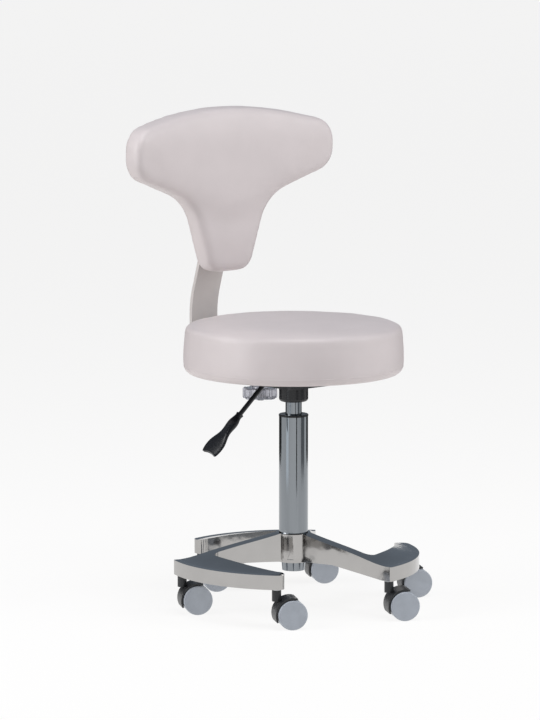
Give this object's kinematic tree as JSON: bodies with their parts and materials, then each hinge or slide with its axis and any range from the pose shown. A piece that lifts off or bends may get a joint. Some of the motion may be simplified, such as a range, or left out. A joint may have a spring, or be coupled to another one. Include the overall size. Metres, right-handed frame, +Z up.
{
  "type": "dental operator stool",
  "caption": "Round padded stool on a gas lift with a T-shaped backrest, a release lever and a hooked cast base on swivel casters.",
  "frame": {"origin": "on the column's axis, at floor level", "axes": "+Z up along the column, -Y the way the sitter faces, +Y towards the backrest, the lever on the -X side"},
  "size_m": [0.4684, 0.4927, 0.847],
  "materials": {
    "polished_aluminium": "mirror polished casting",
    "polished_steel": "polished",
    "zinc_steel": "zinc plated",
    "black_plastic": "moulded, semi-gloss",
    "black_steel": "black powder coat",
    "black_rubber": "matt",
    "dust_cloth": "non-woven",
    "plywood": "raw birch ply",
    "vinyl": "fine grain vinyl-coated upholstery",
    "grey_plastic": "textured",
    "clear_knob": "translucent moulded",
    "grey_paint": "satin powder coat",
    "brass": "machined",
    "caster_black": "moulded nylon",
    "caster_grey": "moulded, satin"
  },
  "bodies": {
    "base": {"base_casting": "polished_aluminium", "column_tube": "polished_steel", "column_bush": "black_plastic", "column_end_plate": "zinc_steel", "bearing_race_lower": "zinc_steel", "bearing_balls": "zinc_steel", "caster_bushes": "black_plastic", "caster_stems": "zinc_steel"},
    "spindle": {"piston_rod": "zinc_steel", "piston_head": "zinc_steel", "piston_seal": "black_rubber", "bearing_race_upper": "zinc_steel", "lift_buffer": "black_rubber", "rod_clip": "zinc_steel"},
    "carrier": {"gas_cylinder": "polished_steel", "cylinder_rod_guide": "black_plastic", "taper_socket": "black_steel", "socket_cover": "black_plastic", "seat_plate": "black_steel", "lever_pivot_pin": "zinc_steel", "bar_guide": "black_steel", "dust_cover": "dust_cloth", "seat_board": "plywood", "seat_tee_nuts": "zinc_steel", "seat_screws": "zinc_steel", "seat_cushion": "vinyl"},
    "release": {"release_pin": "zinc_steel"},
    "lever": {"lever_rod": "black_steel", "lever_paddle": "black_plastic"},
    "depth_clamp": {"depth_clamp_pad": "brass"},
    "depth_screw": {"depth_stud": "zinc_steel", "depth_knob": "clear_knob"},
    "back_carriage": {"back_bar": "grey_paint", "bar_end_cap": "black_plastic"},
    "backrest": {"back_cushion": "vinyl", "back_board": "plywood", "back_shell": "grey_plastic", "height_bracket": "black_steel", "back_screws": "zinc_steel"},
    "height_clamp": {"height_clamp_pad": "brass"},
    "height_screw": {"height_stud": "zinc_steel", "height_knob": "clear_knob"},
    "caster_1_fork": {"caster_1_housing": "caster_black"},
    "caster_1_wheel_set": {"caster_1_axle": "zinc_steel", "caster_1_wheels": "caster_grey"},
    "caster_2_fork": {"caster_2_housing": "caster_black"},
    "caster_2_wheel_set": {"caster_2_axle": "zinc_steel", "caster_2_wheels": "caster_grey"},
    "caster_3_fork": {"caster_3_housing": "caster_black"},
    "caster_3_wheel_set": {"caster_3_axle": "zinc_steel", "caster_3_wheels": "caster_grey"},
    "caster_4_fork": {"caster_4_housing": "caster_black"},
    "caster_4_wheel_set": {"caster_4_axle": "zinc_steel", "caster_4_wheels": "caster_grey"},
    "caster_5_fork": {"caster_5_housing": "caster_black"},
    "caster_5_wheel_set": {"caster_5_axle": "zinc_steel", "caster_5_wheels": "caster_grey"},
    "caster_6_fork": {"caster_6_housing": "caster_black"},
    "caster_6_wheel_set": {"caster_6_axle": "zinc_steel", "caster_6_wheels": "caster_grey"}
  },
  "joints": [
    {"name": "seat_swivel", "type": "hinge", "parent": "base", "child": "spindle", "pos_m": [0, 0, 0.075], "axis": [0, 0, 1], "continuous": true},
    {"name": "seat_height", "type": "slide", "parent": "spindle", "child": "carrier", "axis": [0, 0, 1], "range_m": [-0.017, 0.105]},
    {"name": "lever_lift", "type": "hinge", "parent": "carrier", "child": "lever", "pos_m": [-0.028, 0, 0.395], "axis": [0, 1, 0], "range_deg": [0, 6], "stiffness_Nm_per_rad": 1.5, "springref_deg": -8.59},
    {"name": "pin_travel", "type": "slide", "parent": "carrier", "child": "release", "axis": [0, 0, -1], "range_m": [0, 0.0032]},
    {"name": "depth_clamp_travel", "type": "slide", "parent": "carrier", "child": "depth_clamp", "axis": [0, 0, -1], "range_m": [0, 0.0025]},
    {"name": "depth_knob_turn", "type": "hinge", "parent": "depth_clamp", "child": "depth_screw", "pos_m": [0, 0.088, 0.37], "axis": [0, 0, 1], "range_deg": [0, 720.1]},
    {"name": "back_depth", "type": "slide", "parent": "carrier", "child": "back_carriage", "axis": [0, 1, 0], "range_m": [-0.03, 0.018]},
    {"name": "back_height", "type": "slide", "parent": "back_carriage", "child": "backrest", "axis": [0, 0, 1], "range_m": [-0.045, 0.03]},
    {"name": "height_clamp_travel", "type": "slide", "parent": "backrest", "child": "height_clamp", "axis": [0, 1, 0], "range_m": [0, 0.0025]},
    {"name": "height_knob_turn", "type": "hinge", "parent": "height_clamp", "child": "height_screw", "pos_m": [0, 0.235, 0.73], "axis": [0, 1, 0], "range_deg": [0, 720.1]},
    {"name": "caster_1_swivel", "type": "hinge", "parent": "base", "child": "caster_1_fork", "pos_m": [0.15396, 0.13384, 0.06], "axis": [0, 0, 1], "continuous": true},
    {"name": "caster_1_roll", "type": "hinge", "parent": "caster_1_fork", "child": "caster_1_wheel_set", "pos_m": [0.17495, 0.1222, 0.025], "axis": [0.4848, 0.8746, 0], "continuous": true},
    {"name": "caster_2_swivel", "type": "hinge", "parent": "base", "child": "caster_2_fork", "pos_m": [-0.03893, 0.20025, 0.06], "axis": [0, 0, 1], "continuous": true},
    {"name": "caster_2_roll", "type": "hinge", "parent": "caster_2_fork", "child": "caster_2_wheel_set", "pos_m": [-0.01793, 0.18862, 0.025], "axis": [0.4848, 0.8746, 0], "continuous": true},
    {"name": "caster_3_swivel", "type": "hinge", "parent": "base", "child": "caster_3_fork", "pos_m": [-0.19289, 0.06642, 0.06], "axis": [0, 0, 1], "continuous": true},
    {"name": "caster_3_roll", "type": "hinge", "parent": "caster_3_fork", "child": "caster_3_wheel_set", "pos_m": [-0.17189, 0.05478, 0.025], "axis": [0.4848, 0.8746, 0], "continuous": true},
    {"name": "caster_4_swivel", "type": "hinge", "parent": "base", "child": "caster_4_fork", "pos_m": [-0.15396, -0.13384, 0.06], "axis": [0, 0, 1], "continuous": true},
    {"name": "caster_4_roll", "type": "hinge", "parent": "caster_4_fork", "child": "caster_4_wheel_set", "pos_m": [-0.13297, -0.14547, 0.025], "axis": [0.4848, 0.8746, 0], "continuous": true},
    {"name": "caster_5_swivel", "type": "hinge", "parent": "base", "child": "caster_5_fork", "pos_m": [0.03893, -0.20025, 0.06], "axis": [0, 0, 1], "continuous": true},
    {"name": "caster_5_roll", "type": "hinge", "parent": "caster_5_fork", "child": "caster_5_wheel_set", "pos_m": [0.05992, -0.21189, 0.025], "axis": [0.4848, 0.8746, 0], "continuous": true},
    {"name": "caster_6_swivel", "type": "hinge", "parent": "base", "child": "caster_6_fork", "pos_m": [0.19289, -0.06642, 0.06], "axis": [0, 0, 1], "continuous": true},
    {"name": "caster_6_roll", "type": "hinge", "parent": "caster_6_fork", "child": "caster_6_wheel_set", "pos_m": [0.21388, -0.07805, 0.025], "axis": [0.4848, 0.8746, 0], "continuous": true}
  ],
  "couplings": [
    {"joint": "pin_travel", "follows": "lever_lift", "m_per_rad": 0.0295},
    {"joint": "depth_knob_turn", "follows": "depth_clamp_travel", "rad_per_m": 5026.5},
    {"joint": "height_knob_turn", "follows": "height_clamp_travel", "rad_per_m": 5026.5}
  ]
}
